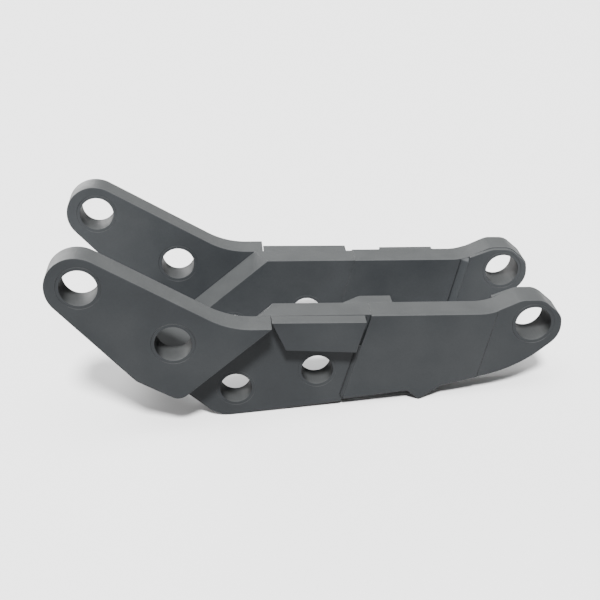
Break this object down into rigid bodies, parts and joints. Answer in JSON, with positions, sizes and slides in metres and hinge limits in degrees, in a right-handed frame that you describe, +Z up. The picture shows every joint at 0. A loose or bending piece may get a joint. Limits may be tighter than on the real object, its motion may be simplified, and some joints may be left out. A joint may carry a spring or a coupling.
{
  "type": "quick coupler frame",
  "caption": "Twin-cheek quick coupler frame: two raised pin arms, a welded body and a round nose, with bushed cross bores for the machine's and the tool's pins.",
  "frame": {"origin": "centre of the bounding box at floor level, midway between the cheeks", "axes": "+X from the raised arms to the nose, +Y towards the far cheek, +Z up; the frame stands on its lower edges"},
  "size_m": [0.6265, 0.284, 0.248],
  "materials": {
    "frame_paint": "satin dark grey paint",
    "bush_paint": "satin dark grey paint over a hardened bush"
  },
  "bodies": {
    "root": {"near_arm_plate": "frame_paint", "far_arm_plate": "frame_paint", "near_main_plate": "frame_paint", "far_main_plate": "frame_paint", "near_nose_plate": "frame_paint", "far_nose_plate": "frame_paint", "near_nose_doubler": "frame_paint", "far_nose_doubler": "frame_paint", "near_upper_pad": "frame_paint", "far_upper_pad": "frame_paint", "far_front_pad": "frame_paint", "near_stop_lug": "frame_paint", "belly_plate": "frame_paint", "front_cross_bar": "frame_paint", "near_arm_end_bush": "bush_paint", "far_arm_end_bush": "bush_paint", "near_arm_middle_bush": "bush_paint", "far_arm_middle_bush": "bush_paint", "near_body_rear_bush": "bush_paint", "far_body_rear_bush": "bush_paint", "near_body_front_bush": "bush_paint", "far_body_front_bush": "bush_paint", "near_nose_bush": "bush_paint", "far_nose_bush": "bush_paint"}
  },
  "joints": []
}
